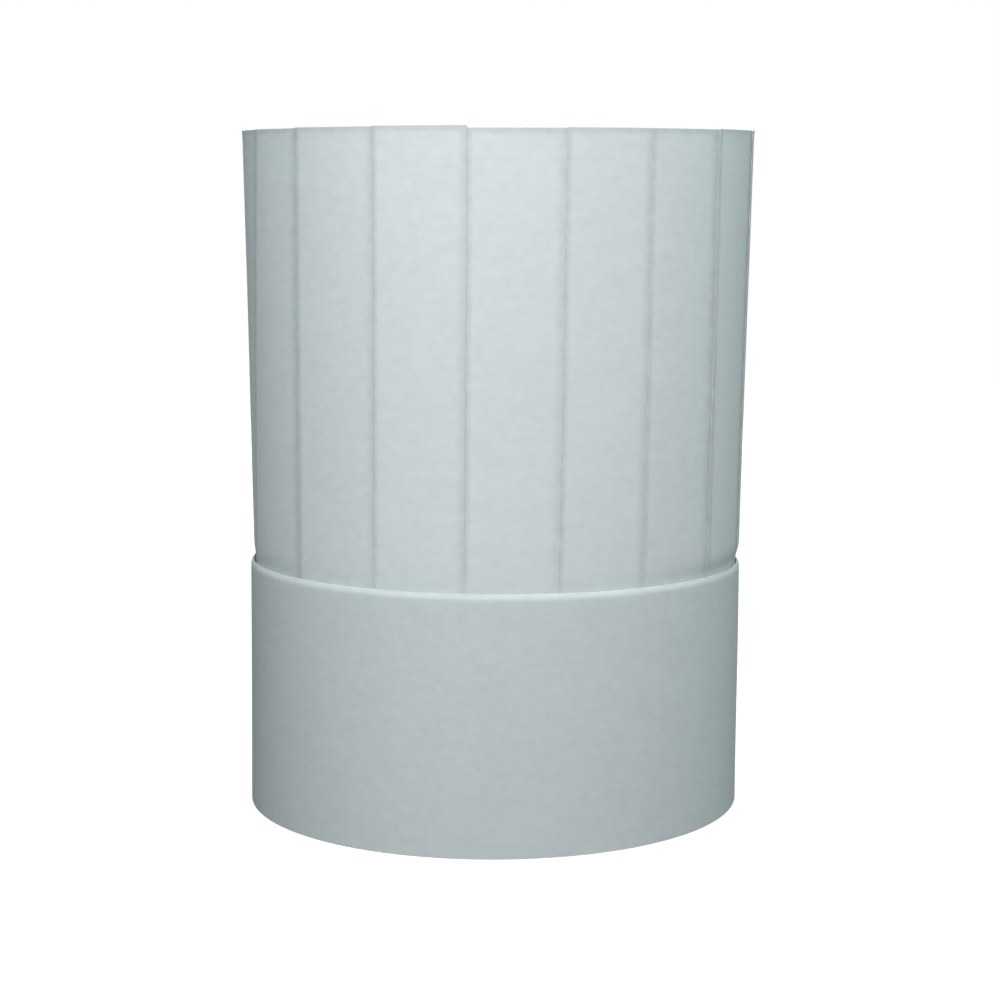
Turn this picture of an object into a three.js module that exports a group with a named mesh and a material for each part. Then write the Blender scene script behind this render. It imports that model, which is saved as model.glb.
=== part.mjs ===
// A disposable chef hat: a tall round toque of white non-woven paper that stands on its band.
// crown_wall is the tall wall, one strip laid in knife pleats and joined into a tube.
// head_band is the strip round the head, its upper edge folded over, its ends lapped at the back.
// top_panel is the flat round top, its edge turned down inside the wall.
// Lengths are millimetres, +Z is up and the origin is the middle of the foot.
// Angles are degrees, counted from the front of the hat (-Y) towards its left-hand side (+X).

import * as THREE from "three";

// The whole hat
const HAT_HEIGHT = 250;
const RIM_RADIUS = 93.7;
const PAPER = 1;
const PIECE_GAP = 0.35;

// The band and the lap of its two ends
const BAND_HEIGHT = 91.5;
const BAND_FOOT_RADIUS = 92.3;
const BAND_EDGE_RADIUS = 92;
const BAND_STATIONS = 96;
const EDGE_ROUND_STEPS = 4;
const LAP_MIDDLE = 180;
const LAP_LENGTH = 40;
const LAP_RISE = 0.8;
const LAP_END = 1;
const LAP_RAMP = 7;

// The crown wall, which goes down inside the band and is pressed in by it
const CROWN_FOOT_RADIUS = 91.5;
const TUCK_DEPTH = 20;
const TUCK_EASE = 2.5;
const TUCK_RADIUS = BAND_EDGE_RADIUS - PAPER - PIECE_GAP;
const CROWN_HEIGHTS = [
  { z: BAND_HEIGHT - TUCK_DEPTH, radius: TUCK_RADIUS },
  { z: BAND_HEIGHT, radius: TUCK_RADIUS },
  { z: BAND_HEIGHT + TUCK_EASE, radius: CROWN_FOOT_RADIUS },
  { z: HAT_HEIGHT, radius: RIM_RADIUS },
];

// The pleats' folded edges on the front half, at the rim and at the band's upper edge
const FRONT_FOLDS = [
  { rim: -66, band: -75 },
  { rim: -48, band: -49.8 },
  { rim: -26.6, band: -27.4 },
  { rim: -6.3, band: -6.7 },
  { rim: 14.1, band: 14 },
  { rim: 33.8, band: 34.4 },
  { rim: 54.7, band: 56.2 },
];
const BACK_FOLD_COUNT = 10;

// One pleat from its folded edge to the next, as depths below the circle through the edges.
// The paper doubled back under the folded edge makes the first stretch thicker.
// The panel is a little flatter than the circle, and its far end dips under the next fold.
const UNDER_LAYERS = 1.2;
const PLEAT_SECTION = [
  { along: 0, depth: 0, layers: UNDER_LAYERS },
  { along: 0.15, depth: 0.2, layers: UNDER_LAYERS },
  { along: 0.29, depth: 0.35, layers: UNDER_LAYERS - 0.15 },
  { along: 0.31, depth: 0.37, layers: 0 },
  { along: 0.55, depth: 0.5, layers: 0 },
  { along: 0.8, depth: 0.5, layers: 0 },
  { along: 0.88, depth: 0.55, layers: 0 },
  { along: 0.95, depth: 0.85, layers: 0 },
  { along: 0.992, depth: UNDER_LAYERS, layers: 0 },
];

// The top panel, set just below the rim
const TOP_BELOW_RIM = 3.5;
const TOP_SKIRT_HEIGHT = 12;
const TOP_CORNER_RADIUS = 1.6;
const TOP_CORNER_STEPS = 3;
const TOP_SEGMENTS = 96;

// White non-woven paper, a little cool in tone
const PAPER_FINISH = { roughness: 0.95, metalness: 0 };
const CROWN_COLOUR = "#e1e9eb";
const BAND_COLOUR = "#dce4e6";
const TOP_COLOUR = "#e4ebed";

const { lerp, degToRad, radToDeg } = THREE.MathUtils;

/** The point at a radius, an angle from the front and a height. */
function pointAt(radius, degrees, z) {
  const angle = degToRad(degrees);
  return new THREE.Vector3(radius * Math.sin(angle), -radius * Math.cos(angle), z);
}

/** The angle that a length along the circle of a given radius takes up. */
function degreesAlong(length, radius) {
  return radToDeg(length / radius);
}

/**
 * A closed ring from stations round the hat, each the same number of points round the wall.
 * Stations go from the front towards +X, and the points of each go up outside and down inside.
 */
function ringSolid(stations) {
  const perStation = stations[0].length;
  const indexOf = (station, point) =>
    (station % stations.length) * perStation + (point % perStation);
  const indices = [];
  for (let station = 0; station < stations.length; station += 1) {
    for (let point = 0; point < perStation; point += 1) {
      const here = indexOf(station, point);
      const above = indexOf(station, point + 1);
      const beside = indexOf(station + 1, point);
      const across = indexOf(station + 1, point + 1);
      indices.push(here, beside, across, here, across, above);
    }
  }
  const geometry = new THREE.BufferGeometry().setFromPoints(stations.flat());
  geometry.setIndex(indices);
  geometry.computeVertexNormals();
  return geometry;
}

/** All folds in order round the hat: those of the front, then evenly spaced ones at the back. */
function allFolds() {
  const last = FRONT_FOLDS[FRONT_FOLDS.length - 1];
  const first = FRONT_FOLDS[0];
  const backFolds = Array.from({ length: BACK_FOLD_COUNT }, (_, index) => {
    const share = (index + 1) / (BACK_FOLD_COUNT + 1);
    return {
      rim: lerp(last.rim, first.rim + 360, share),
      band: lerp(last.band, first.band + 360, share),
    };
  });
  return [...FRONT_FOLDS, ...backFolds];
}

/** The angle of a fold at a height, on its straight line from the band's edge to the rim. */
function foldAngle(fold, z) {
  const share = (z - BAND_HEIGHT) / (HAT_HEIGHT - BAND_HEIGHT);
  return lerp(fold.band, fold.rim, share);
}

/** The pleated wall: one station for each row of the pleat section, in every pleat. */
function crownWallGeometry() {
  const folds = allFolds();
  const stations = folds.flatMap((fold, index) => {
    const isLast = index === folds.length - 1;
    const next = folds[(index + 1) % folds.length];
    return PLEAT_SECTION.map(({ along, depth, layers }) => {
      const angleAt = (z) =>
        lerp(foldAngle(fold, z), foldAngle(next, z) + (isLast ? 360 : 0), along);
      const outside = CROWN_HEIGHTS.map(({ z, radius }) =>
        pointAt(radius - depth, angleAt(z), z));
      const inside = CROWN_HEIGHTS.map(({ z, radius }) =>
        pointAt(radius - depth - PAPER - layers, angleAt(z), z));
      return [...outside, ...inside.reverse()];
    });
  });
  return ringSolid(stations);
}

/** How far the outer end of the lapped band stands out at an angle. */
function lapRise(degrees) {
  const along = ((degrees - LAP_MIDDLE) / degreesAlong(1, BAND_FOOT_RADIUS)) + LAP_LENGTH / 2;
  const start = THREE.MathUtils.clamp(along / LAP_END, 0, 1);
  const finish = THREE.MathUtils.smoothstep(LAP_LENGTH - along, 0, LAP_RAMP);
  return LAP_RISE * Math.min(start, finish);
}

/** The angles of the band's stations: even ones, and two at the cut end of the lap. */
function bandAngles() {
  const even = Array.from({ length: BAND_STATIONS }, (_, index) => (360 * index) / BAND_STATIONS);
  const cutEnd = LAP_MIDDLE - degreesAlong(LAP_LENGTH / 2, BAND_FOOT_RADIUS);
  const cutFoot = cutEnd + degreesAlong(LAP_END, BAND_FOOT_RADIUS);
  return [...even, cutEnd, cutFoot].sort((a, b) => a - b);
}

/** The band: a straight strip with a flat foot and a rounded, folded upper edge. */
function headBandGeometry() {
  const stations = bandAngles().map((degrees) => {
    const thickness = PAPER + lapRise(degrees);
    const round = thickness / 2;
    const roundMiddle = BAND_EDGE_RADIUS - PAPER + round;
    const edge = Array.from({ length: EDGE_ROUND_STEPS + 1 }, (_, step) => {
      const turn = (Math.PI * step) / EDGE_ROUND_STEPS;
      const z = BAND_HEIGHT - round + round * Math.sin(turn);
      return pointAt(roundMiddle + round * Math.cos(turn), degrees, z);
    });
    const footInside = pointAt(BAND_FOOT_RADIUS - PAPER, degrees, 0);
    const footOutside = pointAt(BAND_FOOT_RADIUS - PAPER + thickness, degrees, 0);
    return [footOutside, ...edge, footInside];
  });
  return ringSolid(stations);
}

/** The outside of the wall at a height above the band. */
function crownRadius(z) {
  const share = (z - BAND_HEIGHT - TUCK_EASE) / (HAT_HEIGHT - BAND_HEIGHT - TUCK_EASE);
  return lerp(CROWN_FOOT_RADIUS, RIM_RADIUS, share);
}

/** The top: a flat disc with a rounded corner and a skirt that follows the wall's inside. */
function topPanelGeometry() {
  const face = HAT_HEIGHT - TOP_BELOW_RIM;
  const underside = face - PAPER;
  const foot = face - TOP_SKIRT_HEIGHT;
  const wallInside = PAPER + UNDER_LAYERS + PLEAT_SECTION[1].depth;
  const skirtRadius = (z) => crownRadius(z) - wallInside - PIECE_GAP;
  const cornerMiddle = new THREE.Vector2(
    skirtRadius(face) - TOP_CORNER_RADIUS,
    face - TOP_CORNER_RADIUS,
  );
  const corner = Array.from({ length: TOP_CORNER_STEPS + 1 }, (_, step) => {
    const turn = (Math.PI / 2) * (step / TOP_CORNER_STEPS);
    const reach = new THREE.Vector2(Math.cos(turn), Math.sin(turn));
    return reach.multiplyScalar(TOP_CORNER_RADIUS).add(cornerMiddle);
  });
  const profile = [
    new THREE.Vector2(0, underside),
    new THREE.Vector2(cornerMiddle.x, underside),
    new THREE.Vector2(skirtRadius(cornerMiddle.y) - PAPER, cornerMiddle.y),
    new THREE.Vector2(skirtRadius(foot) - PAPER, foot),
    new THREE.Vector2(skirtRadius(foot), foot),
    ...corner,
    new THREE.Vector2(0, face),
  ];
  return new THREE.LatheGeometry(profile, TOP_SEGMENTS).rotateX(Math.PI / 2);
}

/** One named piece of paper. */
function paperPiece(name, geometry, color) {
  const material = new THREE.MeshStandardMaterial({ color, ...PAPER_FINISH });
  const mesh = new THREE.Mesh(geometry, material);
  mesh.name = name;
  return mesh;
}

const chefHat = new THREE.Group();
chefHat.add(
  paperPiece("crown_wall", crownWallGeometry(), CROWN_COLOUR),
  paperPiece("head_band", headBandGeometry(), BAND_COLOUR),
  paperPiece("top_panel", topPanelGeometry(), TOP_COLOUR),
);

export default chefHat;
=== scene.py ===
"""The looks of a disposable chef hat: a pleated wall, a head band and a flat top of white paper.

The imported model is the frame. Each piece of paper is made as the real one is, from a flat strip or
disc that is folded to the frame's sizes, and takes the place of its plain solid. Lengths are in
metres, +Z is up, and angles are radians from the front of the hat (-Y) towards +X.
"""

import logging
import math
from dataclasses import dataclass
from enum import Enum
from typing import Any, Callable, Iterable

import bpy
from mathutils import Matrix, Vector, noise


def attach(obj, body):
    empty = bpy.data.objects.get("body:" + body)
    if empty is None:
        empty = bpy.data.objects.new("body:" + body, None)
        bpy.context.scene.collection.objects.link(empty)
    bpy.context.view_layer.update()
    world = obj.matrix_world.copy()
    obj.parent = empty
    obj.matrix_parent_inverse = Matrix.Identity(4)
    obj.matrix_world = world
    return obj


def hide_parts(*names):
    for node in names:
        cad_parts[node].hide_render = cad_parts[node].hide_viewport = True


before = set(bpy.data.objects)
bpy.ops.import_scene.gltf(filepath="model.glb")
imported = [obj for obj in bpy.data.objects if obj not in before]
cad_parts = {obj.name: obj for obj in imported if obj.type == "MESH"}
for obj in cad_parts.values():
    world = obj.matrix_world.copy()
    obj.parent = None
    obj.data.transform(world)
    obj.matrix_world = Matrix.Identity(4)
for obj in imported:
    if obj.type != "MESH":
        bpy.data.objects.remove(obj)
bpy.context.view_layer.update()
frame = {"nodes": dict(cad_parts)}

MM = 0.001
PHOTO_SIDE_PX = 1000

# The hat leans to its left-hand side by this much for each unit of height, about its middle.
LEAN = 0.0078
LEAN_MIDDLE = 125 * MM

# Edges that turn by more than this are shaded as corners, such as the paper's own cut edges.
CORNER_ANGLE = math.radians(50)

# The patterns of unevenness are slices of one noise, this far apart.
SLICE_SPACING = 17.31
FIRST_SLICE = 0.5

# The colour inputs and the colour output of a Mix node, whose names its other kinds of value share.
MIX_FIRST, MIX_SECOND, MIX_RESULT = 6, 7, 2

log = logging.getLogger("chef_hat")


def lerp(low: float, high: float, share: float) -> float:
    """Go a share of the way from one value to another."""
    return low + (high - low) * share


def clamp(value: float, low: float = 0.0, high: float = 1.0) -> float:
    """Keep a value between two limits."""
    return min(max(value, low), high)


def ease(value: float, start: float, end: float) -> float:
    """Rise smoothly from 0 at start to 1 at end.

    Args:
        value: Where to read the curve.
        start: The value at which the rise begins.
        end: The value at which it is complete.

    Returns:
        The height of the curve, from 0 to 1.
    """
    share = clamp((value - start) / (end - start))
    return share * share * (3 - 2 * share)


class Pattern(Enum):
    """The separate patterns of small unevenness, each with its own seed."""

    PANEL_RISE = 3.0
    FOLD_WANDER = 7.0
    PANEL_BOW = 11.0
    FOLD_LIFT = 23.0
    CRIMP = 31.0
    SAG = 37.0


def drift(pattern: Pattern, across: float, along: float = 0.0, copy: int = 0) -> float:
    """A smooth, repeatable unevenness from -1 to 1.

    Args:
        pattern: Which of the patterns to read.
        across: First coordinate, counted in the pattern's own wavelengths.
        along: Second coordinate, counted the same way.
        copy: Which of a pattern's copies to read, such as one for each fold.

    Returns:
        The pattern's value there.
    """
    seed = pattern.value + copy
    return noise.noise(Vector((across, along, seed * SLICE_SPACING + FIRST_SLICE)))


def on_hat(radius: float, angle: float, height: float) -> Vector:
    """The point at a radius, an angle from the front and a height, on the slightly leaning hat."""
    aside = LEAN * (height - LEAN_MIDDLE)
    return Vector((radius * math.sin(angle) + aside, -radius * math.cos(angle), height))


def srgb(colour: str) -> tuple[float, float, float, float]:
    """Turn an sRGB hex colour into the linear values that a shader takes, by the sRGB curve.

    Args:
        colour: Six hex digits after a hash sign.

    Returns:
        Linear red, green, blue and an alpha of 1.
    """
    values = [int(colour[start:start + 2], 16) / 255 for start in (1, 3, 5)]
    linear = [v / 12.92 if v <= 0.04045 else ((v + 0.055) / 1.055) ** 2.4 for v in values]
    return (linear[0], linear[1], linear[2], 1.0)


def add_node(
    tree: bpy.types.NodeTree,
    kind: str,
    settings: dict[str, Any] | None = None,
    links: dict[str | int, Any] | None = None,
) -> bpy.types.Node:
    """Add a shader node with its settings and links.

    Args:
        tree: The node tree that gets the node.
        kind: The node's Blender type name.
        settings: Values by property or input name; an input is named with a leading "in ".
        links: Output sockets by the name or number of the input that each one feeds.

    Returns:
        The new node.
    """
    node = tree.nodes.new(kind)
    for name, value in (settings or {}).items():
        if name.startswith("in "):
            node.inputs[name[3:]].default_value = value
        else:
            setattr(node, name, value)
    for name, output in (links or {}).items():
        tree.links.new(output, node.inputs[name])
    return node


@dataclass(frozen=True)
class WallLevel:
    """One level of the wall in the frame.

    Attributes:
        height: The level's height.
        radius: The circle that its folds lie on.
        folds: The folds' angles, in order round the hat.
    """

    height: float
    radius: float
    folds: tuple[float, ...]


@dataclass(frozen=True)
class HatSizes:
    """The hat's sizes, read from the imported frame.

    Attributes:
        wall: The wall's levels, from its foot inside the band to the rim.
        band_height: The height of the band's upper edge.
        band_foot_radius: The outside of the band at its foot.
        band_edge_radius: The outside of the band at its upper edge.
        top_face: The height of the top's upper face.
        top_foot: The height of the top's turned-down edge.
        top_radius: The largest radius of the top.
    """

    wall: tuple[WallLevel, ...]
    band_height: float
    band_foot_radius: float
    band_edge_radius: float
    top_face: float
    top_foot: float
    top_radius: float

    @classmethod
    def from_frame(cls, nodes: dict[str, bpy.types.Object]) -> "HatSizes":
        """Read the sizes from the solids' corners.

        Args:
            nodes: The frame's objects by node name.

        Returns:
            The sizes of the hat.
        """
        wall = tuple(
            WallLevel(height, max_radius(corners), fold_angles(corners))
            for height, corners in levels(corners_of(nodes["crown_wall"]))
        )
        band_front = [corner for corner in corners_of(nodes["head_band"]) if corner.y < 0]
        band = [(height, max_radius(corners)) for height, corners in levels(band_front)]
        top_corners = corners_of(nodes["top_panel"])
        top = [(height, max_radius(corners)) for height, corners in levels(top_corners)]
        upper_edge = [radius for height, radius in band if height > band[-1][0] - MM]
        return cls(
            wall=wall,
            band_height=band[-1][0],
            band_foot_radius=band[0][1],
            band_edge_radius=max(upper_edge),
            top_face=top[-1][0],
            top_foot=top[0][0],
            top_radius=max(radius for _, radius in top),
        )

    @property
    def height(self) -> float:
        """The height of the whole hat."""
        return self.wall[-1].height

    @property
    def wall_foot(self) -> float:
        """The height of the wall's lower edge, inside the band."""
        return self.wall[0].height

    @property
    def fold_count(self) -> int:
        """The number of pleats."""
        return len(self.wall[-1].folds)

    def fold_angle(self, fold: int, height: float) -> float:
        """The angle of a fold's straight line at a height.

        Args:
            fold: The fold's number; those past the last go round again.
            height: The height on the wall.

        Returns:
            The angle from the front, one turn more for each time round.
        """
        turns, index = divmod(fold, self.fold_count)
        free, rim = self.wall[-2:]
        share = (height - free.height) / (rim.height - free.height)
        return lerp(free.folds[index], rim.folds[index], share) + turns * math.tau


def corners_of(node: bpy.types.Object) -> list[Vector]:
    """All corners of one of the frame's solids."""
    return [vertex.co.copy() for vertex in node.data.vertices]


def levels(corners: Iterable[Vector]) -> list[tuple[float, list[Vector]]]:
    """Group a solid's corners by height.

    Args:
        corners: The solid's corners.

    Returns:
        Each height with the corners at it, from the lowest up.
    """
    found: dict[float, list[Vector]] = {}
    for corner in corners:
        found.setdefault(round(corner.z, 5), []).append(corner)
    return sorted(found.items())


def max_radius(corners: Iterable[Vector]) -> float:
    """The largest distance of any corner from the hat's axis."""
    return max(math.hypot(corner.x, corner.y) for corner in corners)


def fold_angles(corners: Iterable[Vector]) -> tuple[float, ...]:
    """The angles of the folds at one level, which are its corners farthest from the axis.

    Args:
        corners: The corners of the wall at that level.

    Returns:
        The angles in rising order.
    """
    corners = list(corners)
    tolerance = 0.02 * MM
    limit = max_radius(corners) - tolerance
    angles = {
        round(math.atan2(corner.x, -corner.y), 4)
        for corner in corners
        if math.hypot(corner.x, corner.y) > limit
    }
    return tuple(sorted(angles))


@dataclass(frozen=True)
class FibrePattern:
    """One cloudy pattern in the paper, of a real size.

    Attributes:
        size_mm: The distance from one blot of the pattern to the next, up the strip.
        stretch: How close the blots lie along the strip against up it. Under 1, they are drawn
            out along the strip.
        detail: The number of finer copies that the pattern holds.
        coarseness: How strong the finer copies are.
        in_colour: Its share of the pattern in the paper's colour.
        in_relief: Its share of the paper's relief.
    """

    size_mm: float
    stretch: float
    detail: float
    coarseness: float
    in_colour: float = 0.0
    in_relief: float = 0.0

    def build(self, tree: bpy.types.NodeTree, flat: bpy.types.NodeSocket) -> bpy.types.NodeSocket:
        """Add the pattern to a material.

        Args:
            tree: The material's node tree.
            flat: The piece's flat coordinates, in metres.

        Returns:
            The pattern's value, from 0 to 1.
        """
        scaled = add_node(
            tree,
            "ShaderNodeMapping",
            {"in Scale": (self.stretch, 1.0, 1.0)},
            {"Vector": flat},
        )
        cloud = add_node(
            tree,
            "ShaderNodeTexNoise",
            {
                "in Scale": 1 / (self.size_mm * MM),
                "in Detail": self.detail,
                "in Roughness": self.coarseness,
            },
            {"Vector": scaled.outputs["Vector"]},
        )
        return cloud.outputs["Fac"]


@dataclass(frozen=True)
class NonWovenPaper:
    """Non-woven viscose paper: short fibres laid wet, bonded and pressed flat between rollers.

    To the eye that is a dead matt, faintly cloudy white, because the fibres lie thicker in some
    places than in others, with faint lines along the strip from the rollers and a soft fuzz at a
    low angle. Single fibres are about 0.02 mm wide, too fine to show, so the fibre pattern here
    stands for tufts of them, as coarse as a render of the whole hat needs. A blotchy grey is
    painted along the folds and edges: painted shade, standing in for the shadow in the folds.

    Attributes:
        name: The material's name.
        white: The colour where the fibres lie thick.
        thin_places: The colour where they lie thin.
        patterns: The wide clouds, the tufts, the fibres and the rollers' lines, in that order.
        thin_at: The value of the blended patterns at which the fibres lie thinnest.
        thick_at: The value at which they lie thickest.
        relief_mm: The height of the fibres' relief.
        painted_shade_grey: The colour of the painted shade along folds and edges.
        painted_shade_blots: The blots in which that painted shade is weaker.
        weak_at: The value of the blots at which the painted shade is weakest.
        full_at: The value at which it has its full strength.
        weakest_painted_shade: The share of its strength that is left where it is weakest.
        roughness: The shader's roughness.
        ior: The index of refraction of viscose.
        fuzz: The strength of the fibres' sheen.
        fuzz_roughness: How widely the sheen spreads.
    """

    name: str
    white: str
    thin_places: str
    patterns: tuple[FibrePattern, ...] = (
        FibrePattern(13.0, 0.9, detail=3.0, coarseness=0.55, in_colour=0.24),
        FibrePattern(3.8, 0.85, detail=4.0, coarseness=0.6, in_colour=0.54, in_relief=0.5),
        FibrePattern(0.9, 0.8, detail=2.0, coarseness=0.5, in_colour=0.10, in_relief=0.3),
        FibrePattern(2.2, 0.1, detail=2.0, coarseness=0.5, in_colour=0.12, in_relief=0.2),
    )
    thin_at: float = 0.36
    thick_at: float = 0.60
    relief_mm: float = 0.035
    # Painted shade along folds and edges: its grey, and the blots where it is weaker.
    painted_shade_grey: str = "#BCC4C7"
    painted_shade_blots: FibrePattern = FibrePattern(5.0, 1.0, detail=3.0, coarseness=0.6)
    weak_at: float = 0.3
    full_at: float = 0.7
    weakest_painted_shade: float = 0.45
    roughness: float = 0.92
    ior: float = 1.47
    fuzz: float = 0.12
    fuzz_roughness: float = 0.6

    def build(self) -> bpy.types.Material:
        """Make the material, with its pattern in the piece's own flat coordinates.

        Returns:
            The finished material.
        """
        material = bpy.data.materials.new(self.name)
        material.use_nodes = True
        tree = material.node_tree
        shader = tree.nodes["Principled BSDF"]
        shader.inputs["Roughness"].default_value = self.roughness
        shader.inputs["IOR"].default_value = self.ior
        shader.inputs["Sheen Weight"].default_value = self.fuzz
        shader.inputs["Sheen Roughness"].default_value = self.fuzz_roughness
        flat = add_node(tree, "ShaderNodeUVMap", {"uv_map": "UVMap"}).outputs["UV"]
        drawn = [(pattern, pattern.build(tree, flat)) for pattern in self.patterns]
        thickness = self.blend_of(tree, [(value, p.in_colour) for p, value in drawn])
        spread = add_node(
            tree,
            "ShaderNodeMapRange",
            {"in From Min": self.thin_at, "in From Max": self.thick_at},
            {"Value": thickness},
        )
        colour = add_node(
            tree,
            "ShaderNodeMix",
            {"data_type": "RGBA"},
            {0: spread.outputs["Result"]},
        )
        colour.inputs[MIX_FIRST].default_value = srgb(self.thin_places)
        colour.inputs[MIX_SECOND].default_value = srgb(self.white)
        # Painted shade: the grey along folds and edges is mixed over the paper's colour.
        painted_shade_mix = add_node(
            tree,
            "ShaderNodeMix",
            {"data_type": "RGBA"},
            {0: self.painted_shade_in(tree, flat), MIX_FIRST: colour.outputs[MIX_RESULT]},
        )
        painted_shade_mix.inputs[MIX_SECOND].default_value = srgb(self.painted_shade_grey)
        tree.links.new(painted_shade_mix.outputs[MIX_RESULT], shader.inputs["Base Color"])
        relief = self.blend_of(tree, [(value, p.in_relief) for p, value in drawn])
        bump = add_node(
            tree,
            "ShaderNodeBump",
            {"in Strength": 1.0, "in Distance": self.relief_mm * MM},
            {"Height": relief},
        )
        tree.links.new(bump.outputs["Normal"], shader.inputs["Normal"])
        return material

    def painted_shade_in(
        self, tree: bpy.types.NodeTree, flat: bpy.types.NodeSocket
    ) -> bpy.types.NodeSocket:
        """How strongly the painted shade along folds and edges shows, weaker in blots along its
        line.

        Args:
            tree: The material's node tree.
            flat: The piece's flat coordinates, in metres.

        Returns:
            The strength, from 0 to 1.
        """
        uneven = add_node(
            tree,
            "ShaderNodeMapRange",
            {
                "in From Min": self.weak_at,
                "in From Max": self.full_at,
                "in To Min": self.weakest_painted_shade,
                "in To Max": 1.0,
            },
            {"Value": self.painted_shade_blots.build(tree, flat)},
        )
        pressed = add_node(tree, "ShaderNodeAttribute", {"attribute_name": "painted_shade"})
        strength = add_node(
            tree,
            "ShaderNodeMath",
            {"operation": "MULTIPLY"},
            {0: pressed.outputs["Fac"], 1: uneven.outputs["Result"]},
        )
        return strength.outputs[0]

    def blend_of(
        self, tree: bpy.types.NodeTree, parts: list[tuple[bpy.types.NodeSocket, float]]
    ) -> bpy.types.NodeSocket:
        """Add patterns together, each with its own share.

        Args:
            tree: The material's node tree.
            parts: Each pattern's value with its share of the whole; those with none are left out.

        Returns:
            The sum.
        """
        total = None
        for socket, share in parts:
            if share == 0:
                continue
            links = {0: socket} if total is None else {0: socket, 2: total}
            step = add_node(tree, "ShaderNodeMath", {"operation": "MULTIPLY_ADD"}, links)
            step.inputs[1].default_value = share
            if total is None:
                step.inputs[2].default_value = 0.0
            total = step.outputs[0]
        return total


# The crown's and the top's paper is light and bright. The band's is heavier, and a little greyer.
CROWN_PAPER = NonWovenPaper("non_woven_paper_crown", white="#E8F0F1", thin_places="#E1E9EB")
BAND_PAPER = NonWovenPaper("non_woven_paper_band", white="#DBE4E6", thin_places="#D4DDDF")
TOP_PAPER = NonWovenPaper("non_woven_paper_top", white="#E8F0F1", thin_places="#E1E9EB")


def flat_sheet(name: str, columns: int, rows: int) -> bpy.types.Object:
    """Lay out a flat strip of paper as a grid, ready to be folded.

    Args:
        name: The name of the piece.
        columns: The number of lines of points along the strip.
        rows: The number of lines of points up the strip.

    Returns:
        The strip, with its points ordered row by row.
    """
    bpy.ops.mesh.primitive_grid_add(x_subdivisions=columns - 1, y_subdivisions=rows - 1, size=1)
    sheet = bpy.context.object
    sheet.name = name
    sheet.data.name = name
    return sheet


def fold_sheet(
    sheet: bpy.types.Object,
    columns: int,
    rows: int,
    place: Callable[[int, int], Vector],
    painted_shade: Callable[[int, int], float],
) -> tuple[float, float]:
    """Move a flat strip's points to their places on the hat, and keep its flat size as its UV map.

    Args:
        sheet: The flat strip.
        columns: The number of lines of points along it.
        rows: The number of lines of points up it.
        place: Gives the place of the point in a column and a row.
        painted_shade: Gives how strongly painted shade shows there, from 0 to 1.

    Returns:
        The strip's flat length and width, in metres.
    """
    points = [[place(column, row) for column in range(columns)] for row in range(rows)]
    for row in range(rows):
        for column in range(columns):
            sheet.data.vertices[row * columns + column].co = points[row][column]
    # Painted shade along folds and edges is stored on the points, for the material to darken the
    # paper with.
    shade_marks = sheet.data.attributes.new("painted_shade", "FLOAT", "POINT")
    shade_marks.data.foreach_set(
        "value", [painted_shade(column, row) for row in range(rows) for column in range(columns)]
    )
    # The strip's length is taken two thirds of the way up, and its width a third of the way along.
    middle = points[rows * 2 // 3]
    along = [0.0]
    for before, after in zip(middle, middle[1:]):
        along.append(along[-1] + (after - before).length)
    up = [0.0]
    for below, above in zip(points, points[1:]):
        up.append(up[-1] + (above[columns // 3] - below[columns // 3]).length)
    flat_map = sheet.data.uv_layers["UVMap"].data
    for loop in sheet.data.loops:
        row, column = divmod(loop.vertex_index, columns)
        flat_map[loop.index].uv = (along[column], up[row])
    return along[-1], up[-1]


def thicken(sheet: bpy.types.Object, thickness: float) -> None:
    """Give a folded sheet the thickness of its paper, half to each side, and shade it smoothly.

    Args:
        sheet: The folded sheet.
        thickness: The thickness of its paper.
    """
    activate(sheet)
    solid = sheet.modifiers.new("paper_thickness", "SOLIDIFY")
    solid.thickness = thickness
    solid.offset = 0
    bpy.ops.object.modifier_apply(modifier=solid.name)
    bpy.ops.object.mode_set(mode="EDIT")
    bpy.ops.mesh.select_all(action="SELECT")
    bpy.ops.mesh.normals_make_consistent(inside=False)
    bpy.ops.object.mode_set(mode="OBJECT")
    bpy.ops.object.shade_smooth_by_angle(angle=CORNER_ANGLE)


def activate(piece: bpy.types.Object) -> None:
    """Select one piece alone and make it the active one.

    Args:
        piece: The piece to select.
    """
    bpy.ops.object.select_all(action="DESELECT")
    piece.select_set(True)
    bpy.context.view_layer.objects.active = piece


def hand_in(piece: bpy.types.Object, node: str, paper: NonWovenPaper) -> None:
    """Dress a finished piece and put it in the place of its solid.

    Args:
        piece: The finished piece.
        node: The node that it stands for.
        paper: The paper that it is made of.
    """
    piece.data.materials.clear()
    piece.data.materials.append(paper.build())
    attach(piece, "root")
    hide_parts(node)
    log.info("%s: %d points", piece.name, len(piece.data.vertices))


class Sheet(Enum):
    """Which of a pleat's three sheets a line of the wall's strip is in, counted inwards."""

    OUTSIDE = 0
    DOUBLED_BACK = 1
    UNDERNEATH = 2


@dataclass(frozen=True)
class StripColumn:
    """One line up the wall's strip: its place in a pleat.

    Attributes:
        fold: The fold that the place is counted from.
        share: The share of the way from that fold to the next.
        reach: How much further round the wall the line is, in metres.
        depth: How many sheets deep it lies, or None for the sinking panel.
        hidden: 1 where the line is inside the pleat, and 0 where it can be seen.
        painted_shade: How strongly the painted shade along the fold shows on it, from 0 to 1.
        rise: How far this panel's upper edge stands above the hat's height, in metres.
    """

    fold: int
    share: float
    reach: float
    depth: float | None
    hidden: float
    painted_shade: float
    rise: float


@dataclass(frozen=True)
class EdgePoint:
    """One point of a worked edge seen in section, in millimetres.

    Attributes:
        down: How far below the edge the point is.
        inset: How far inside the wall's surface it is.
    """

    down: float
    inset: float


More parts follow.
